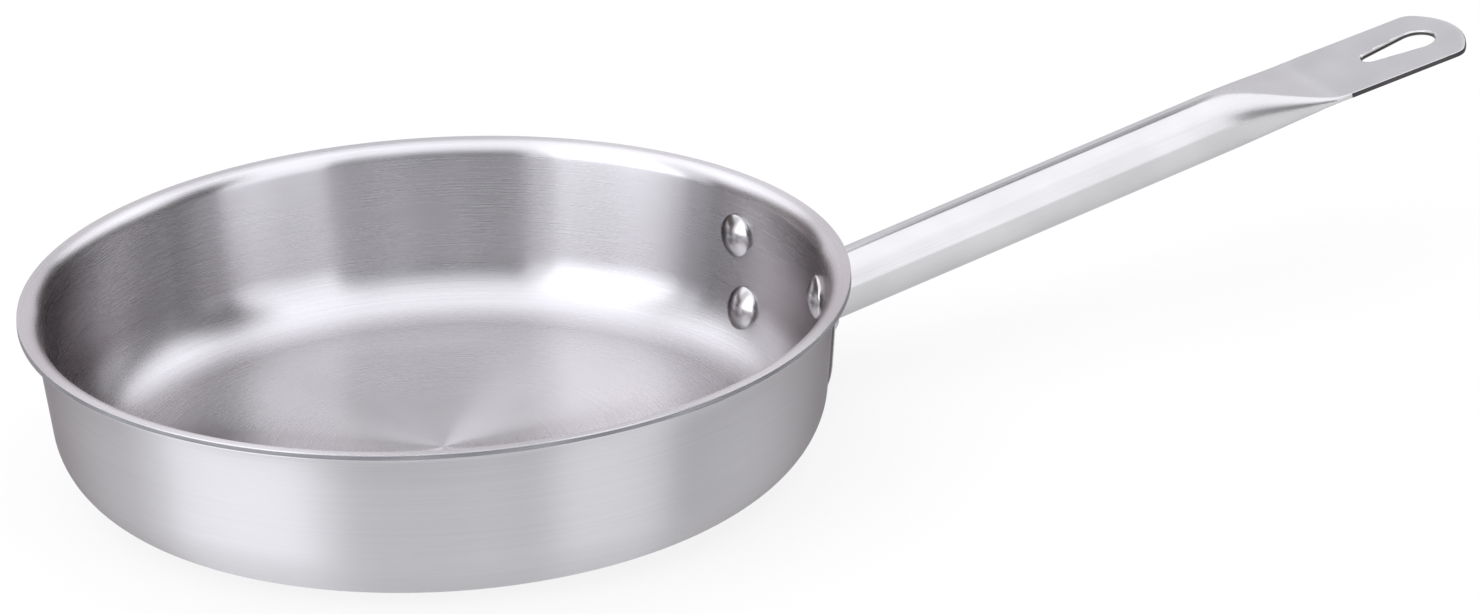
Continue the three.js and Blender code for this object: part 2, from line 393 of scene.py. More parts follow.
@dataclass(frozen=True)
class RoundBrushedSteel(BareMetal):
    """Stainless sheet, spun against an abrasive belt.

    The belt leaves fine rings about the bowl's axis. Light spreads across the rings and not
    along them, so highlights stand as fans from the middle of the floor up the wall.
    """

    line_depth_mm: float = 0.0003
    line_pitch_mm: float = 0.7  # belt lines are about 0.1 mm apart; drawn coarser to show
    lumps_round: float = 1.4  # lumps of a line per radian
    line_share: float = 0.7  # of the lines in the roughness, beside the patches
    patches_per_m: float = 14.0  # patches where the belt pressed more or less
    rough_span: Span = (0.45, 1.25)
    waver: float = 0.004  # how far the lines swing from their run, in radians
    spread: float = 1.0  # all the spread is across the lines
    spread_turn: float = 0.25  # a quarter of a turn from their run

    def material(self) -> bpy.types.Material:
        """The finish as a Blender material."""
        material, tree = new_material(self.name)
        place = add_node(tree, "ShaderNodeTexCoord", out="Object")
        height = add_node(tree, "ShaderNodeSeparateXYZ", {0: place}, "Z")
        flat = add_node(tree, VECTOR, (place, (1.0, 1.0, 0.0)), operation="MULTIPLY")
        radius = add_node(tree, VECTOR, {0: flat}, "Value", operation="LENGTH")
        outward = add_node(tree, VECTOR, {0: flat}, operation="NORMALIZE")
        along = add_node(tree, VECTOR, {0: outward, "Scale": self.lumps_round}, operation="SCALE")
        across = add_node(tree, MATH, (radius, height), operation="ADD")
        per_m = 1 / (self.line_pitch_mm * MM)
        lines = add_node(tree, MATH, (across, per_m), operation="MULTIPLY")
        lift = add_node(tree, "ShaderNodeCombineXYZ", {2: lines})
        belt = add_node(tree, VECTOR, (along, lift), operation="ADD")
        grain = add_node(
            tree, NOISE, {"Vector": belt, "Scale": 1.0, "Detail": 3.0, "Roughness": 0.6}
        )
        cloud = add_node(
            tree, NOISE, {"Vector": place, "Scale": self.patches_per_m, "Detail": 2.0}
        )
        mixed = add_node(tree, MATH, (grain, self.line_share, cloud), operation="MULTIPLY_ADD")
        rough = add_node(tree, RANGE, (mixed, *self.rough_span, *self.roughness))
        round_way = add_node(tree, "ShaderNodeTangent", direction_type="RADIAL", axis="Z")
        half = self.waver / 2
        swing = add_node(tree, MATH, (grain, self.waver, -half), operation="MULTIPLY_ADD")
        aside = add_node(tree, VECTOR, {0: round_way, "Scale": swing}, operation="SCALE")
        bump = {"Strength": 1.0, "Distance": self.line_depth_mm * MM, "Height": grain}
        marked = add_node(tree, "ShaderNodeBump", bump)
        swung = add_node(tree, VECTOR, (marked, aside), operation="ADD")
        self.dress(
            tree,
            grain,
            {
                "Roughness": rough,
                "Anisotropic": self.spread,
                "Anisotropic Rotation": self.spread_turn,
                "Tangent": round_way,
                "Normal": add_node(tree, VECTOR, {0: swung}, operation="NORMALIZE"),
            },
        )
        return material


@dataclass(frozen=True)
class DrawnMetal(BareMetal):
    """Metal with straight marks along one way, from drawing, shearing or polishing.

    The marks blur reflections a little, so bands of light along the piece keep soft edges.
    Where a press has flattened the piece its polish is duller.
    """

    line_pitch_mm: float = 0.35  # polishing marks are under 0.1 mm apart; drawn coarser to show
    line_length_mm: float = 30.0
    line_rise: float = 0.0  # the marks' rise from level, along +X
    rough_span: Span = (0.3, 0.7)
    patch_mm: float = 16.0  # patches where the polishing wheel pressed more or less
    patch_share: float = 0.8  # of the patches in the tone, beside the marks
    tone_span: Span = (0.2, 0.8)
    pressed_mm: Span = (0.0, 1.0)  # along +X, where the press starts to dull the polish
    pressed_dulling: float = 0.0  # added to the roughness from there on

    def material(self) -> bpy.types.Material:
        """The finish as a Blender material."""
        material, tree = new_material(self.name)
        place = add_node(tree, "ShaderNodeTexCoord", out="Object")
        fine = self.line_pitch_mm * MM
        marks = add_node(
            tree,
            "ShaderNodeMapping",
            {
                "Vector": place,
                "Rotation": (0.0, -self.line_rise, 0.0),
                "Scale": (self.line_length_mm * MM, fine, fine),
            },
            vector_type="TEXTURE",
        )
        grain = add_node(
            tree, NOISE, {"Vector": marks, "Scale": 1.0, "Detail": 2.0, "Roughness": 0.6}
        )
        polish = add_node(tree, RANGE, (grain, *self.rough_span, *self.roughness))
        along = add_node(tree, "ShaderNodeSeparateXYZ", {0: place}, "X")
        start, end = self.pressed_mm
        press = (start * MM, end * MM, 0.0, self.pressed_dulling)
        dull = add_node(tree, RANGE, (along, *press))
        rough = add_node(tree, MATH, (polish, dull), operation="ADD")
        per_m = 1 / (self.patch_mm * MM)
        cloud = add_node(tree, NOISE, {"Vector": place, "Scale": per_m, "Detail": 1.0})
        both = add_node(tree, "ShaderNodeMix", {0: self.patch_share, 2: grain, 3: cloud})
        worn = add_node(tree, RANGE, (both, *self.tone_span, 0.0, 1.0))
        bump = {"Strength": 1.0, "Distance": self.line_depth_mm * MM, "Height": grain}
        marked = add_node(tree, "ShaderNodeBump", bump)
        self.dress(tree, worn, {"Roughness": rough, "Normal": marked})
        return material


@dataclass(frozen=True)
class WhitePaper:
    """Matt white paper, rolled out under the pan.

    Most of its white is its own, to the camera and in the metal alike. The rest is lit by the
    studio, so the pan's soft shadow stays on it.
    """

    name: str = "matt_white_paper"
    colour: str = "F4F4F6"
    white_in_metal: float = 0.6
    white_to_camera: float = 0.82

    def material(self) -> bpy.types.Material:
        """The finish as a Blender material."""
        material, tree = new_material(self.name)
        share: Any = 0.0
        for ray, white in (
            ("Is Glossy Ray", self.white_in_metal),
            ("Is Transmission Ray", self.white_in_metal),
            ("Is Camera Ray", self.white_to_camera),
        ):
            seen = add_node(tree, "ShaderNodeLightPath", out=ray)
            part = add_node(tree, MATH, (seen, white), operation="MULTIPLY")
            share = add_node(tree, MATH, (share, part), operation="MAXIMUM")
        paper = add_node(tree, "ShaderNodeBsdfDiffuse", {"Color": linear(self.colour)})
        own = {"Color": linear("FFFFFF"), "Strength": 1.0}
        bright = add_node(tree, "ShaderNodeEmission", own)
        both = add_node(tree, "ShaderNodeMixShader", (share, paper, bright))
        add_node(tree, "ShaderNodeOutputMaterial", {0: both})
        return material


@dataclass(frozen=True)
class Screen:
    """Cloth stretched on a frame: lit from behind it is a softbox, dark it is a flag.

    The pan's steel shows it as a light or dark patch.
    """

    name: str
    level: float
    colour: str

    def material(self) -> bpy.types.Material:
        """The finish as a Blender material."""
        material, tree = new_material(self.name)
        lit = {"Color": linear(self.colour), "Strength": self.level}
        cloth = add_node(tree, "ShaderNodeEmission", lit)
        add_node(tree, "ShaderNodeOutputMaterial", {0: cloth})
        return material


@dataclass(frozen=True)
class Ply:
    """One sheet of the clad bowl."""

    name: str
    node: str
    slot: str
    thickness: float
    finish: Finish


@dataclass
class Bowl:
    """The clad bowl: three sheets drawn together, with a lip turned out for pouring."""

    rim_radius: float = 120.0
    height: float = 52.2
    corner_radius: float = 20.5
    wall_draft: float = math.radians(6)
    lip_angle: float = math.radians(87)
    lip_bend: float = 3.2
    lip_flange: float = 1.82
    bond: float = 0.02
    edge_ease: float = 0.12
    search: float = 40.0  # how far from a point its wall is looked for
    segments: int = 288
    floor_steps: int = 16
    corner_steps: int = 28
    wall_steps: int = 14
    bend_steps: int = 20
    edge_steps: int = 4
    plies: tuple[Ply, ...] = (
        Ply(
            "bowl_outer_sheet",
            "outer_ply",
            "outer_steel",
            0.4,
            RoundBrushedSteel(
                "belt_brushed_stainless_outside", (0.38, 0.44), "E0DFE1", "D5D4D6", "9E9898"
            ),
        ),
        Ply(
            "bowl_core_sheet",
            "aluminium_core",
            "core_aluminium",
            1.0,
            DrawnMetal("cut_aluminium", (0.4, 0.55), "A6A7AA", "838488"),
        ),
        Ply(
            "bowl_inner_sheet",
            "inner_ply",
            "liner_steel",
            0.4,
            RoundBrushedSteel(
                "belt_brushed_stainless_inside", (0.24, 0.3), "DEDDDF", "D2D1D3", "C2B7B6"
            ),
        ),
    )

    def __post_init__(self) -> None:
        """Works out the places that follow from the sizes."""
        draft, bend, flange = self.wall_draft, self.lip_bend, self.lip_flange
        c, s = math.cos(self.lip_angle), math.sin(self.lip_angle)
        self.sheet = sum(ply.thickness for ply in self.plies) + self.bond * (len(self.plies) - 1)
        self.lip_centre = np.array(
            [
                self.rim_radius + bend * c - flange * s,
                self.height - (bend + self.sheet) * s - flange * c,
            ]
        )
        self.wall_normal = np.array([math.cos(draft), -math.sin(draft)])
        self.wall_top = self.lip_centre - bend * self.wall_normal
        self.wall_offset = float(self.wall_top @ self.wall_normal)
        self.base_radius = (
            self.wall_offset - self.corner_radius * (1 - math.sin(draft))
        ) / math.cos(draft)

    def surface(self, depth: float) -> Points:
        """A surface of the bowl as a profile from the axis to the lip's edge.

        Args:
            depth: How far it lies inside the bowl's outer surface.

        Returns:
            Radius and height of its points.
        """
        draft, lip = self.wall_draft, self.lip_angle
        foot = np.array([self.base_radius, depth])
        floor = straight(np.array([0.0, depth]), foot, self.floor_steps)
        middle = np.array([self.base_radius, self.corner_radius])
        radius = self.corner_radius - depth
        corner = arc(middle, radius, -QUARTER_TURN, -draft, self.corner_steps)
        top = self.wall_top - depth * self.wall_normal
        wall = straight(corner[-1], top, self.wall_steps)
        radius = self.lip_bend + depth
        bend = arc(self.lip_centre, radius, math.pi - draft, math.pi - lip, self.bend_steps)
        out = np.array([math.sin(lip), math.cos(lip)])
        flange = straight(bend[-1], bend[-1] + self.lip_flange * out, self.edge_steps)
        return np.vstack([floor, corner[1:], wall[1:], bend[1:], flange[1:]])

    def depth(self, points: Points) -> Points:
        """How far points lie inside the bowl's outer surface.

        Args:
            points: Points of the wall or its corner.

        Returns:
            A depth for each point, less than nothing outside the bowl.
        """
        radius, height = np.hypot(points[:, 0], points[:, 1]), points[:, 2]
        off_r, off_z = radius - self.base_radius, height - self.corner_radius
        on_corner = np.arctan2(off_z, off_r) < -self.wall_draft
        corner = self.corner_radius - np.hypot(off_r, off_z)
        wall = self.wall_offset - (radius * self.wall_normal[0] + height * self.wall_normal[1])
        return np.where(on_corner, corner, wall)

    def spot(self, height: float, depth: float) -> tuple[float, float]:
        """The place on a surface at a height.

        Args:
            height: Height above the table.
            depth: The surface's depth.

        Returns:
            Its radius, and how far its outward normal points down.
        """
        radius = self.corner_radius - depth
        tilt = math.asin(min(1.0, (self.corner_radius - height) / radius))
        if tilt > self.wall_draft:
            return self.base_radius + radius * math.cos(tilt), tilt
        offset = self.wall_offset - depth + height * math.sin(self.wall_draft)
        return offset / math.cos(self.wall_draft), self.wall_draft

    def meet(self, starts: Points, way: Points, depth: float) -> Points:
        """Where lines meet a surface of the wall.

        Args:
            starts: A point near the wall on each line.
            way: The lines' common direction, into the bowl.
            depth: The surface's depth.

        Returns:
            The points on the surface.
        """
        far = np.full(len(starts), self.search)
        along = halved(-far, far, lambda d: self.depth(starts + d[:, None] * way) < depth)
        return starts + along[:, None] * way

    def ply_mesh(self, ply: Ply, shallow: float, holes: list[bpy.types.Object]) -> bpy.types.Object:
        """One sheet of the bowl, its cut edge eased.

        Args:
            ply: The sheet.
            shallow: Depth of its outer face.
            holes: Cutters for the rivet holes.

        Returns:
            The sheet's object.
        """
        outer, inner = self.surface(shallow), self.surface(shallow + ply.thickness)
        low_edge = eased(outer[-2], outer[-1], inner[-1], self.edge_ease, self.edge_steps)
        high_edge = eased(outer[-1], inner[-1], inner[-2], self.edge_ease, self.edge_steps)
        profile = np.vstack([outer[:-1], low_edge, high_edge, inner[-2::-1]])
        piece = new_piece(ply.name, *turned(profile, self.segments))
        cut(piece, holes)
        return piece

    def build(self, rivets: "Rivets") -> None:
        """Builds and dresses the three sheets.

        Args:
            rivets: The rivets that pass through the sheets.
        """
        shallow = 0.0
        for ply in self.plies:
            piece = self.ply_mesh(ply, shallow, rivets.hole_cutters())
            fit_out(piece, ply.node, ply.finish)
            shallow += ply.thickness + self.bond


@dataclass(frozen=True)
class Dome:
    """A domed end of a rivet, with a low upright skirt."""

    radius: float
    rise: float
    skirt: float


@dataclass
class Rivets:
    """Four domed rivets in two rows, headed inside the pan and peened outside."""

    bowl: Bowl
    handle_height: float = 24.4
    upper_rise: float = 11.4
    lower_drop: float = 9.9
    upper_spread: float = 56.0
    lower_spread: float = 45.0
    shank_radius: float = 3.0
    hole_gap: float = 0.3
    head: Dome = Dome(6.6, 2.2, 1.0)
    tail: Dome = Dome(5.0, 1.3, 0.7)
    plate_front: float = -2.3  # depth of the bracket's front, where the tails sit
    seat: float = 0.03
    ease: float = 0.5
    segments: int = 64
    dome_steps: int = 14
    ease_steps: int = 6
    cutter_reach: float = 6.0
    cutter_segments: int = 32
    sharp: float = 50.0
    finish: Finish = DrawnMetal("polished_stainless_rivet", (0.2, 0.26))

    def height_of(self, row: Row) -> float:
        """Height of a row above the table."""
        return self.handle_height + (self.upper_rise if row is Row.UPPER else -self.lower_drop)

    def spread_of(self, row: Row) -> float:
        """Distance between the two rivets of a row."""
        return self.upper_spread if row is Row.UPPER else self.lower_spread

    def place(self, row: Row, side: Side) -> Matrix:
        """A rivet's frame: +Z into the pan, on the middle of the sheet.

        Args:
            row: Its row.
            side: Its side.

        Returns:
            The frame, in millimetres.
        """
        height = self.height_of(row)
        radius, tilt = self.bowl.spot(height, self.bowl.sheet / 2)
        turn = math.asin(side.value * self.spread_of(row) / 2 / radius)
        inward = Vector((-math.cos(tilt), 0, math.sin(tilt)))
        lean = Vector((0, 0, 1)).rotation_difference(inward).to_matrix().to_4x4()
        there = Matrix.Translation((radius, 0, height))
        return Matrix.Rotation(turn, 4, "Z") @ there @ lean

    def hole_cutters(self) -> list[bpy.types.Object]:
        """Closed rods that cut the rivet holes, one for each rivet."""
        radius, reach = self.shank_radius + self.hole_gap, self.cutter_reach
        profile = np.array([[0, -reach], [radius, -reach], [radius, reach], [0, reach]])
        points, faces = turned(profile, self.cutter_segments)
        return [
            new_piece("hole", placed(points, self.place(row, side)), faces)
            for row in Row
            for side in Side
        ]

    def domed(self, at: Matrix, face: float, dome: Dome) -> list[Points]:
        """Rings of a domed end, from where its skirt meets the wall to its crown.

        Args:
            at: The rivet's frame, +Z out of the face that the end sits on.
            face: Depth of that face.
            dome: The end.

        Returns:
            Rings of points, the last one a pole.
        """
        rim = abs(face - self.bowl.sheet / 2) + dome.skirt
        crown = rim + dome.rise
        ball = (dome.radius**2 + dome.rise**2) / (2 * dome.rise)
        middle = np.array([0.0, crown - ball])
        cap = arc(middle, ball, math.acos(dome.radius / ball), QUARTER_TURN, self.dome_steps)
        below = np.array([dome.radius, 0.0])
        corner = eased(below, cap[0], cap[1], self.ease, self.ease_steps)
        clear = 1.5 * self.ease  # nearer points of the cap would crowd the eased corner
        beyond = cap[np.hypot(*(cap - cap[0]).T) > clear]
        outline = np.vstack([corner, beyond[:-1]])
        rings = [placed(ring(r, z, self.segments), at) for r, z in outline]
        way = np.array(at.to_3x3())[:, 2]
        inward = 1.0 if face > 0 else -1.0
        skirt = placed(ring(dome.radius, 0.0, self.segments), at)
        foot = self.bowl.meet(skirt, inward * way, face + inward * self.seat)
        return [foot, *rings, placed(np.array([[0.0, 0.0, crown]]), at)]

    def build_one(self, row: Row, side: Side) -> bpy.types.Object:
        """One rivet: tail, shank and head.

        Args:
            row: Its row.
            side: Its side.

        Returns:
            The rivet's object.
        """
        at = self.place(row, side)
        back = at @ Matrix.Rotation(math.pi, 4, "X")
        half = self.bowl.sheet / 2
        head = self.domed(at, self.bowl.sheet, self.head)
        tail = self.domed(back, self.plate_front, self.tail)
        turn = (-np.arange(self.segments)) % self.segments
        tail = [loop[turn] if len(loop) > 1 else loop for loop in tail]
        shank = [
            placed(ring(self.shank_radius, level, self.segments), at)
            for level in (self.plate_front - half, half)
        ]
        name = f"domed_rivet_{row.value}_{side.name.lower()}"
        return new_piece(name, *skin([*tail[::-1], *shank, *head]), self.sharp)

    def build(self) -> None:
        """Builds and dresses the four rivets."""
        for row in Row:
            for side in Side:
                piece = self.build_one(row, side)
                node = f"rivet_{row.value}_{side.name.lower()}"
                fit_out(piece, node, self.finish)


@dataclass
class Handle:
    """The hollow tube, pressed flat at its end into a tab with a teardrop hole."""

    start_radius: float = 120.0
    start_height: float = 24.4
    rise: float = math.radians(11.4)
    root: float = -4.4  # where the tube starts, behind the handle's frame
    tube_radius: float = 9.6
    tube_wall: float = 0.8
    tube_length: float = 135.0
    press_length: float = 37.0
    tab_length: float = 51.6
    tab_width: float = 35.5
    tab_tilt: float = math.radians(1.9)
    tab_drop: float = 0.2
    tip_radius: float = 25.0
    tip_corner: float = 5.0
    edge_ease: float = 0.35
    crease_ease: float = 0.4
    hole_wide: float = 6.0
    hole_narrow: float = 3.0
    hole_span: float = 15.8
    hole_margin: float = 7.9
    cut_from: float = 5.0  # the sheet's folded edge ends here, after the crease
    cutter_past: float = 2.0  # how far the hole's cutter stands out of the sheet
    tube_rows: int = 30
    press_rows: int = 60
    bore_rows: int = 24
    tab_rows: int = 44
    square_rows: int = 6  # of the tab, in which its folded edge turns square
    crowd_rows: int = 12  # of the tab, in which its points draw close to the sides
    top_steps: int = 40
    edge_steps: int = 12
    wide_steps: int = 40
    narrow_steps: int = 24
    ease_steps: int = 4
    sharp: float = 50.0
    finish: Finish = DrawnMetal(
        "polished_drawn_stainless_tube",
        (0.14, 0.21),
        "D3D2D2",
        "C5C4C4",
        line_rise=math.radians(11.4),
        pressed_mm=(240.0, 268.0),
        pressed_dulling=0.15,
    )
    # The tab's cut edges and hole walls: their dark colour is painted shade for edge faces in
    # shadow; the higher roughness is the sheared metal's own.
    shaded_edge_finish: Finish = DrawnMetal("tab_edge_painted_shade", (0.3, 0.45), "5C5A5A", "403E3E")

    def __post_init__(self) -> None:
        """Works out the places that follow from the sizes."""
        self.crease = self.tube_length + self.press_length
        self.half_sheet = self.tube_wall  # the tab is two walls of the tube thick
        self.room = self.tab_width / 2 - self.half_sheet
        start = Matrix.Translation((self.start_radius, 0, self.start_height))
        self.at = start @ Matrix.Rotation(-self.rise, 4, "Y")

    def pressed(self, distance: float) -> tuple[float, float, float]:
        """How far the tube is pressed.

        Args:
            distance: Distance along the handle.

        Returns:
            Half its height, half its straight run across, and the drop of its middle.
        """
        t = max(0.0, (distance - self.tube_length) / self.press_length)
        share = t * t * (2 - t) if t < 1 else t
        fall = (self.tube_radius - self.half_sheet) * (1 - share)
        half = self.half_sheet + (fall + math.hypot(fall, self.crease_ease)) / 2
        if t == 0:
            half = self.tube_radius
        gap = self.room * (1 - share)
        run = self.room - (gap + math.hypot(gap, self.crease_ease)) / 2
        return half, max(0.0, run), self.tab_drop * min(1.0, share)

    def fractions(self, share: float) -> Points:
        """Where a section's points lie along its outline.

        Args:
            share: 0 for the round tube, 1 for the flat tab.

        Returns:
            Shares of the outline's length, from the middle of the left edge.
        """
        run, quarter = self.room, QUARTER_TURN * self.half_sheet
        whole = 4 * quarter + 4 * run
        flat = np.array([quarter, quarter + 2 * run, 3 * quarter + 2 * run, 3 * quarter + 4 * run])
        round_marks = np.array([1, 3, 5, 7]) / 8
        marks = round_marks + (flat / whole - round_marks) * share
        top = np.linspace(marks[0], marks[1], self.top_steps + 1)
        right = np.linspace(marks[1], marks[2], self.edge_steps + 1)[1:-1]
        under = np.linspace(marks[2], marks[3], self.top_steps + 1)
        left = np.linspace(marks[3], 1 + marks[0], self.edge_steps + 1)[1:-1]
        return np.concatenate([top, right, under, left])

    def section(self, distance: float, inset: float = 0.0) -> Points:
        """The tube's section at a distance.

        Args:
            distance: Distance along the handle.
            inset: How far inside the outer surface.

        Returns:
            Points in the handle's frame.
        """
        half, run, drop = self.pressed(distance)
        share = min(1.0, run / self.room)
        half -= inset
        quarter = QUARTER_TURN * half
        whole = 4 * quarter + 4 * run
        length = (self.fractions(share * share * (3 - 2 * share)) % 1.0) * whole
        over = np.clip(length - quarter, 0, 2 * run)
        under = np.clip(length - 3 * quarter - 2 * run, 0, 2 * run)
        angle = (length - over - under) / half
        y = run - over + under + half * np.cos(angle)
        return np.column_stack([np.full(len(y), distance), y, half * np.sin(angle) - drop])

    def on_tab(self, x: float | Points, y: Points, z: float | Points) -> Points:
        """Points of the tab in the handle's frame.

        Args:
            x: Distance from the crease along the tab.
            y: Distance across.
            z: Height above the tab's middle.

        Returns:
            The points.
        """
        c, s = math.cos(self.tab_tilt), math.sin(self.tab_tilt)
        along = np.broadcast_to(self.crease + x * c + z * s, y.shape)
        up = np.broadcast_to(-self.tab_drop - x * s + z * c, y.shape)
        return np.column_stack([along, y, up])

    def edge_shape(self, half: float, square: float) -> Points:
        """The tab's edge from its top face to its underside.

        Args:
            half: Half the sheet's thickness.
            square: 0 for a half-round edge, 1 for a cut edge with eased corners.

        Returns:
            Distance outward and height of its points.
        """
        k = np.linspace(0, math.pi, self.edge_steps + 1)
        half_round = np.column_stack([half * np.sin(k) - half, half * np.cos(k)])
        third = self.edge_steps // 3
        upper = [0, half] - quarter_round(self.edge_ease, third)
        lower = upper[::-1] * [1, -1]
        flat = straight(upper[-1], lower[0], self.edge_steps - 2 * third)[1:-1]
        cut_edge = np.vstack([upper, flat, lower])
        return half_round + (cut_edge - half_round) * square

    def tip(self, y: float, inset: float) -> tuple[Points, Points]:
        """The tip's outline: a wide arc with a rounded corner at each side.

        Args:
            y: Distance across the tab.
            inset: How far inside the outline.

        Returns:
            The place on the tab, and the way out of the outline there.
        """
        off_side = self.tab_width / 2 - self.tip_corner
        reach = self.tip_radius - self.tip_corner
        lean = math.asin(off_side / reach)
        middle = np.array([self.tab_length - self.tip_radius, 0.0])
        radius = self.tip_radius - inset
        if abs(y) > radius * math.sin(lean):
            middle = middle + [reach * math.cos(lean), math.copysign(off_side, y)]
            radius = self.tip_corner - inset
        ahead = math.sqrt(max(0.0, radius**2 - (y - middle[1]) ** 2))
        spot = np.array([middle[0] + ahead, y])
        return spot, (spot - middle) / radius

    def tab_faces(self) -> tuple[list[Points], list[Points], list[Points]]:
        """The tab's faces and the outline that runs round them.

        Returns:
            Rows of the top face, rows of the underside, and rows of edge points from the left
            side of the crease round the tip to its right side.
        """
        tops, unders, left_edge, right_edge = [], [], [], []
        even = np.linspace(1, -1, self.top_steps + 1)
        close = np.sin(even * QUARTER_TURN)
        for i in range(1, self.tab_rows + 1):
            v = i / self.tab_rows
            square = min(1.0, i / self.square_rows)
            ease = self.half_sheet + (self.edge_ease - self.half_sheet) * square
            crowd = min(1.0, i / self.crowd_rows)
            y = (self.tab_width / 2 - ease) * (even + (close - even) * crowd)
            ends = [self.tip(across, ease) for across in y]
            corner = ends[0][0][0]
            x = corner * v + v**2 * (np.array([spot[0] for spot, _ in ends]) - corner)
            half = self.pressed(self.crease + corner * v)[0]
            tops.append(self.on_tab(x, y, half))
            unders.append(self.on_tab(x[::-1], y[::-1], -half))
            shape = self.edge_shape(half, square)
            side = self.tab_width / 2 + shape[:, 0]
            if i < self.tab_rows:
                left_edge.append(self.on_tab(x[0], side, shape[:, 1]))
                right_edge.append(self.on_tab(x[-1], -side, shape[:, 1]))
        tip_edge = []
        for spot, way in ends:
            flat = spot + (shape[:, :1] + ease) * way
            tip_edge.append(self.on_tab(flat[:, 0], flat[:, 1], shape[:, 1]))
        return tops, unders, [*left_edge, *tip_edge, *right_edge[::-1]]

    def teardrop(self, grow: float) -> Points:
        """The hanging hole's outline on the tab.

        Args:
            grow: How far outside the hole.

        Returns:
            Distance along and across the tab.
        """
        wide, narrow = self.hole_wide + grow, self.hole_narrow + grow
        wide_at = np.array([self.tab_length - self.hole_margin - self.hole_wide, 0.0])
        narrow_at = wide_at - [self.hole_span, 0]
        touch = math.acos((narrow - wide) / self.hole_span)
        big = arc(wide_at, wide, -touch, touch, self.wide_steps)
        small = arc(narrow_at, narrow, touch, 2 * math.pi - touch, self.narrow_steps)
        return np.vstack([big, small])

    def hole_cutter(self) -> bpy.types.Object:
        """The closed body that cuts the hanging hole, flared at both faces."""
        half, ease, past = self.half_sheet, self.edge_ease, self.cutter_past
        flare = quarter_round(ease, self.ease_steps)[:, 0]
        levels = [(-half - past, ease + past), *((ease - half - grow, grow) for grow in flare)]
        levels += [(-z, grow) for z, grow in levels[::-1]]
        rings = [self.on_tab(*self.teardrop(grow).T, z) for z, grow in levels]
        ends = [loop.mean(axis=0, keepdims=True) for loop in (rings[0], rings[-1])]
        points, faces = skin([ends[0], *rings, ends[1]])
        return new_piece("hole", placed(points, self.at), faces)

    def tube(self) -> tuple[Points, Faces]:
        """The tube with its bore, from the bore's shut end round its root to the crease."""
        start, wall = self.tube_length, self.tube_wall
        stops = np.linspace(self.root, start, self.tube_rows)
        presses = np.linspace(start, self.crease, self.press_rows + 1)[1:]
        outside = [self.section(x) for x in (*stops, *presses)]
        shut = start + self.press_length * (1 - wall / self.tube_radius)
        inside = (*np.linspace(start, shut, self.bore_rows)[::-1], self.root)
        bore = [self.section(x, wall) for x in inside]
        return skin([bore[0].mean(axis=0, keepdims=True), *bore, *outside])

    def mesh(self) -> bpy.types.Object:
        """The tube and its tab as one closed body with the hanging hole cut."""
        points, faces = self.tube()
        n, m = self.top_steps, self.edge_steps
        total = len(points)
        first = total - 2 * (n + m)  # the last section, which the tab carries on from
        tops, unders, edges = self.tab_faces()
        top_ids = [list(range(first, first + n + 1))]
        under_ids = [list(range(first + n + m, first + 2 * n + m + 1))]
        extra = [points]
        for rows, ids in ((tops, top_ids), (unders, under_ids)):
            for row in rows:
                ids.append(list(range(total, total + n + 1)))
                extra.append(row)
                total += n + 1
            for a, b in zip(ids[:-1], ids[1:]):
                faces += [(a[i], a[i + 1], b[i + 1], b[i]) for i in range(n)]
        left = [first + 2 * n + 2 * m - 1 - k for k in range(m - 1)]
        right = [first + n + 1 + k for k in range(m - 1)]
        tip_top, tip_under = top_ids[-1], under_ids[-1][::-1]
        round_top = [r[0] for r in top_ids[:-1]] + tip_top + [r[-1] for r in top_ids[-2::-1]]
        round_under = [r[-1] for r in under_ids[:-1]] + tip_under
        round_under += [r[0] for r in under_ids[-2::-1]]
        strips = [[round_top[0], *left, round_under[0]]]
        for i, edge in enumerate(edges, start=1):
            extra.append(edge[1:-1])
            strips.append([round_top[i], *range(total, total + m - 1), round_under[i]])
            total += m - 1
        strips.append([round_top[-1], *right, round_under[-1]])
        for a, b in zip(strips[:-1], strips[1:]):
            faces += [(a[k], a[k + 1], b[k + 1], b[k]) for k in range(m)]
        piece = new_piece("tube_handle", placed(np.vstack(extra), self.at), faces, self.sharp)
        cut(piece, [self.hole_cutter()], self.sharp)
        return piece

    def build(self) -> None:
        """Builds and dresses the handle."""
        piece = self.mesh()
        fit_out(piece, "handle_tube", self.finish)
        tab = self.at @ Matrix.Translation((self.crease, 0, -self.tab_drop))
        to_tab = (tab @ Matrix.Rotation(self.tab_tilt, 4, "Y")).inverted()

        def cut_here(middle: Vector, normal: Vector) -> bool:
            """Whether a face is on the tab's edge or in its hole."""
            on_tab = (to_tab @ middle).x > self.cut_from
            return on_tab and abs((to_tab.to_3x3() @ normal).z) < SHEARED

        # Paints shade on the tab's cut edges and hole walls with the dark edge finish.
        shear(piece, self.shaded_edge_finish, cut_here)


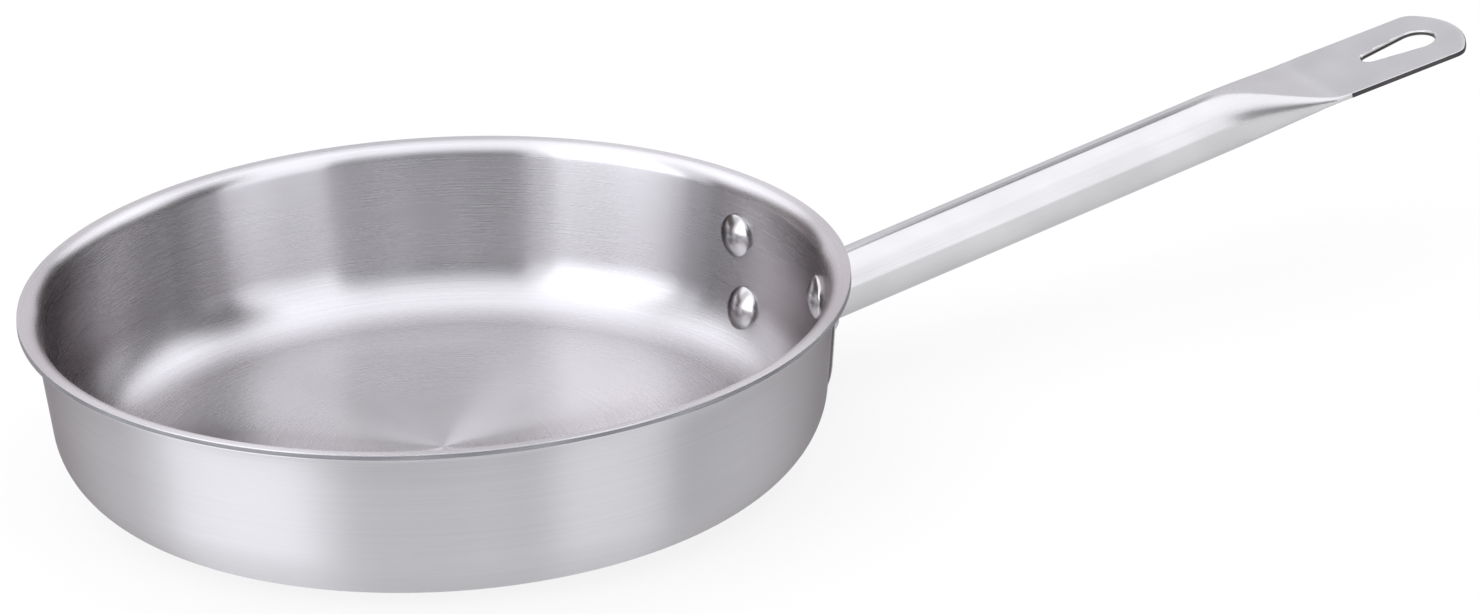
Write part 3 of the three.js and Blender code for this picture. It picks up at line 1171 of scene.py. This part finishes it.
@dataclass
class Bracket:
    """The pressed plate that follows the wall, with a drawn boss round the tube."""

    bowl: Bowl
    handle: Handle
    rivets: Rivets
    sheet: float = 2.0
    seat_gap: float = 0.3
    margin: float = 9.5
    reach_span: Span = (5.0, 70.0)  # the plate's edge is looked for between these
    boss_root: float = 16.5
    boss_wall: float = 1.6
    boss_reach: float = 7.0
    boss_grip: float = 3.4
    blend: float = 1.6
    blend_foot: float = 8.0  # blends below the boss, where nothing is left of its foot
    mouth_ease: float = 0.5
    mouth_onset: float = 40.0  # a high power, so that only the last ring drops to the mouth
    edge_ease: float = 0.5
    rim_from: float = 18.5  # past the boss, faces across the wall are the plate's rim
    segments: int = 192
    edge_steps: int = 5
    mouth_steps: int = 4
    plate_share: float = 0.55  # of the way from the plate's edge to the boss's mouth
    plate_rows: int = 11
    boss_rows: int = 35
    finish: Finish = DrawnMetal(
        "pressed_satin_stainless", (0.22, 0.34), line_pitch_mm=0.5, line_length_mm=6.0
    )
    # The plate's cut rim: its dark colour is painted shade for the edge and the gap against the
    # wall in shadow; the higher roughness is the sheared metal's own.
    shaded_edge_finish: Finish = DrawnMetal("bracket_edge_painted_shade", (0.35, 0.5), "7C7A7A", "5E5C5C")

    def __post_init__(self) -> None:
        """Works out the places that follow from the sizes."""
        self.back, self.front = -self.seat_gap, -self.seat_gap - self.sheet
        self.bore = self.handle.tube_radius + self.seat_gap
        self.mouth_radius = self.bore + self.boss_wall
        self.mouth = self.handle.root + self.boss_reach
        self.way = np.array(self.handle.at.to_3x3())[:, 0]

    def round_tube(self, reach: float | Points, along: float = 0.0) -> Points:
        """Points round the tube's axis at a reach from it and a distance along it."""
        local = ring(reach, 0.0, self.segments)[:, [2, 0, 1]]
        return placed(local, self.handle.at) + along * self.way

    def on_wall(self, reach: float | Points, depth: float) -> Points:
        """Points on a surface along the wall, at a reach from the tube's axis."""
        return self.bowl.meet(self.round_tube(reach), -self.way, depth)

    def outline(self) -> Points:
        """How far the plate reaches from the tube's axis, each way round."""
        half_y = max(self.rivets.upper_spread, self.rivets.lower_spread) / 2
        low, high = self.rivets.height_of(Row.LOWER), self.rivets.height_of(Row.UPPER)

        def covered(reach: Points) -> Points:
            """Whether the plate covers the wall at that reach."""
            spots = self.on_wall(reach, self.front)
            off_y = np.maximum(np.abs(spots[:, 1]) - half_y, 0)
            off_z = np.maximum(np.maximum(low - spots[:, 2], spots[:, 2] - high), 0)
            return np.hypot(off_y, off_z) < self.margin

        near, far = (np.full(self.segments, reach) for reach in self.reach_span)
        return halved(near, far, covered)

    def rise(self, gap: Points) -> Points:
        """How far the boss lifts the plate, with a rounded foot.

        Args:
            gap: How far the boss's cone stands above the plate.

        Returns:
            The lift.
        """
        soft = self.blend**2 / (4 * np.abs(gap) + 4 * self.blend)
        lift = (gap + np.hypot(gap, self.blend)) / 2 - soft
        return np.where(gap > -self.blend_foot * self.blend, np.maximum(lift, 0), 0)

    def face(self, start: Points) -> list[Points]:
        """Rings of the front, from the plate's edge up the boss to its mouth.

        Args:
            start: Reach of the plate's flat front, each way round.

        Returns:
            The rings.
        """
        handle = self.handle
        origin = np.array(handle.at.translation)
        foot_radius, _ = self.bowl.spot(handle.start_height, self.front)
        foot = (foot_radius - handle.start_radius) / math.cos(handle.rise)
        slope = (foot - self.mouth) / (self.boss_root - self.mouth_radius)
        on_plate = np.linspace(0, self.plate_share, self.plate_rows + 1)[1:]
        on_boss = np.linspace(self.plate_share, 1, self.boss_rows + 1)[1:]
        made = []
        for share in (*on_plate, *on_boss):
            reach = start + (self.mouth_radius - start) * share
            plate = self.on_wall(reach, self.front)
            level = (plate - origin) @ self.way
            cone = np.minimum(self.mouth + slope * (reach - self.mouth_radius), self.mouth)
            top = self.mouth - self.mouth_ease * share**self.mouth_onset
            rise = np.minimum(level + self.rise(cone - level), top) - level
            made.append(plate + rise[:, None] * self.way)
        return made

    def rings(self) -> list[Points]:
        """Rings of the bracket, from the plate's edge over the boss and back behind it."""
        edge = self.outline()
        rim = quarter_round(self.edge_ease, self.edge_steps)
        lip = quarter_round(self.mouth_ease, self.mouth_steps)
        made = [self.on_wall(edge - s, self.back - c) for s, c in rim]
        made += [self.on_wall(edge - c, self.front + s) for s, c in rim]
        made += self.face(edge - self.edge_ease)
        made += [self.round_tube(self.mouth_radius - c, self.mouth - s) for s, c in lip[1:]]
        made += [self.round_tube(self.bore + s, self.mouth - c) for s, c in lip]
        made.append(self.round_tube(self.bore, self.mouth - self.boss_grip))
        inner = self.boss_root - self.boss_wall
        return [*made, self.on_wall(inner, self.front), self.on_wall(inner, self.back)]

    def build(self) -> None:
        """Builds and dresses the bracket."""
        piece = new_piece("pressed_bracket", *skin(self.rings(), closed=True))
        cut(piece, self.rivets.hole_cutters())
        fit_out(piece, "handle_bracket", self.finish)
        to_tube = self.handle.at.inverted()

        def cut_here(middle: Vector, normal: Vector) -> bool:
            """Whether a face is on the plate's rim, past the boss and across the wall."""
            out = Vector((middle.x, middle.y, 0)).normalized()
            past_boss = (to_tube @ middle).yz.length > self.rim_from
            return past_boss and abs(normal.dot(out)) < SHEARED

        # Paints shade on the plate's rim with the dark edge finish.
        shear(piece, self.shaded_edge_finish, cut_here)


@dataclass
class PhotoCamera:
    """The camera, at the photograph's viewing angle."""

    distance_mm: float = 1923.5
    swing: float = math.radians(21.3)
    elevation: float = math.radians(23.66)
    yaw: float = math.radians(-2.633)
    pitch: float = math.radians(1.096)
    roll: float = math.radians(3.585)
    focal_px: float = 6609.6
    width_px: float = 1480.0
    sensor_mm: float = 36.0
    clip_m: Span = (0.05, 50.0)

    def build(self) -> None:
        """Makes the camera and gives it to the scene."""
        ahead = Vector((0, math.cos(self.elevation), -math.sin(self.elevation)))
        right = Vector((1, 0, 0))
        up = right.cross(ahead)
        place = -ahead * self.distance_mm * MM
        for axis_of, angle in ((1, self.yaw), (0, self.pitch), (2, self.roll)):
            axis = (right, up, ahead)[axis_of]
            turn = Matrix.Rotation(angle, 3, axis)
            right, up, ahead = turn @ right, turn @ up, turn @ ahead
        lens = bpy.data.cameras.new("photo_camera")
        lens.sensor_fit = "HORIZONTAL"
        lens.sensor_width = self.sensor_mm
        lens.lens = self.sensor_mm * self.focal_px / self.width_px
        lens.clip_start, lens.clip_end = self.clip_m
        camera = bpy.data.objects.new("photo_camera", lens)
        bpy.context.scene.collection.objects.link(camera)
        pose = Matrix((right, up, -ahead)).transposed().to_4x4()
        pose.translation = place
        camera.matrix_world = Matrix.Rotation(-self.swing, 4, "Z") @ pose
        bpy.context.scene.camera = camera
        log.info("camera: lens %.1f mm", lens.lens)


@dataclass(frozen=True)
class Panel:
    """A screen that stands round the pan, with the angles at which the pan sees it."""

    name: str
    start: float  # azimuths, then elevations, in degrees
    end: float
    low: float
    high: float
    level: float
    colour: str = LIT
    columns: int = 25
    rows: int = 13

    def build(self, distance: float) -> None:
        """Makes the screen, which shows in the steel and not to the camera.

        Args:
            distance: Its distance from the pan's middle.
        """
        across = np.radians(np.linspace(self.start, self.end, self.columns))
        sheet = []
        for rise in np.radians(np.linspace(self.low, self.high, self.rows)):
            out = distance * math.cos(rise)
            level = np.full(self.columns, distance * math.sin(rise))
            sheet.append(np.column_stack([out * np.cos(across), out * np.sin(across), level]))
        screen = new_piece(self.name, np.vstack(sheet), grid(self.rows, self.columns))
        cloth = Screen(f"{self.name}_cloth", self.level, self.colour)
        screen.data.materials.append(cloth.material())
        screen.visible_camera = False
        log.info("%s: level %.2f", self.name, self.level)


@dataclass
class Studio:
    """White paper floor in a white room, with softboxes and dark flags round the pan.

    Each screen stands a little nearer than the one before it, and hides it where they overlap.
    """

    floor_size: float = 8000.0
    floor_points: int = 9
    surround: str = LIT
    level: float = 1.0
    screen_distance: float = 3400.0
    screen_step: float = 20.0
    silk_height: float = 2500.0
    silk_radius: float = 1950.0
    silk_segments: int = 96
    silk_level: float = 1.6
    floor_finish: Finish = WhitePaper()
    panels: tuple[Panel, ...] = (
        Panel("left_softbox", 167, 210, 0, 15, 2.8),
        Panel("left_upper_softbox", 167, 210, 15, 52, 2.3),
        Panel("right_softbox", -83, -38, 0, 52, 1.5),
        Panel("front_low_softbox", -152, -96, 0, 3, 3.9),
        Panel("front_flag", -141, -105, 2, 36, 0.01, DARK),
        Panel("front_grey_screen", -105, -81, 2, 36, 0.14),
        Panel("right_flag", -47, -19, 0, 53, 0.04, DARK),
        Panel("handle_flag", -20, 6, 0, 33, 0.06, DARK),
        Panel("handle_screen", 6, 49, 0, 34, 0.03, DARK),
        Panel("back_grey_screen", 45, 107, 0, 28.5, 1.08),
        Panel("left_back_flag", 99, 157, 0, 26, 0.11, DARK),
        Panel("back_upper_screen", -12, 139, 31, 52, 1.75),
        Panel("back_band", 58, 73, 29.5, 47, 0.62),
        Panel("back_line", 59, 73, 47, 52, 0.0),
    )

    def floor(self) -> None:
        """Rolls out the paper."""
        count = self.floor_points
        across = np.linspace(-self.floor_size / 2, self.floor_size / 2, count)
        rows = [np.column_stack([across, np.full(count, y), np.zeros(count)]) for y in across]
        floor = new_piece("paper_floor", np.vstack(rows), grid(count, count))
        floor.data.materials.append(self.floor_finish.material())
        log.info("floor: %.1f m", self.floor_size * MM)

    def silk(self) -> None:
        """Stretches a lit cloth over the pan."""
        profile = np.array([[0.0, self.silk_height], [self.silk_radius, self.silk_height]])
        silk = new_piece("overhead_silk", *turned(profile, self.silk_segments))
        silk.data.materials.append(Screen("overhead_silk_cloth", self.silk_level, LIT).material())
        silk.visible_camera = False
        log.info("overhead silk: level %.2f", self.silk_level)

    def room(self) -> None:
        """Makes the white room."""
        world = bpy.data.worlds.new("white_room")
        world.use_nodes = True
        tree = world.node_tree
        tree.nodes.clear()
        lit = {"Color": linear(self.surround), "Strength": self.level}
        walls = add_node(tree, "ShaderNodeBackground", lit)
        add_node(tree, "ShaderNodeOutputWorld", {0: walls})
        bpy.context.scene.world = world
        bpy.context.scene.view_settings.view_transform = "Standard"

    def build(self) -> None:
        """Makes the floor, the room and the screens."""
        self.floor()
        self.silk()
        self.room()
        for i, panel in enumerate(self.panels):
            panel.build(self.screen_distance - i * self.screen_step)


def main() -> None:
    """Builds the pan, the camera and the studio in order."""
    logging.basicConfig(level=logging.INFO, format="%(name)s %(message)s")
    bowl, handle = Bowl(), Handle()
    rivets = Rivets(bowl)
    bowl.build(rivets)
    Bracket(bowl, handle, rivets).build()
    rivets.build()
    handle.build()
    PhotoCamera().build()
    Studio().build()


if __name__ == "__main__":
    main()
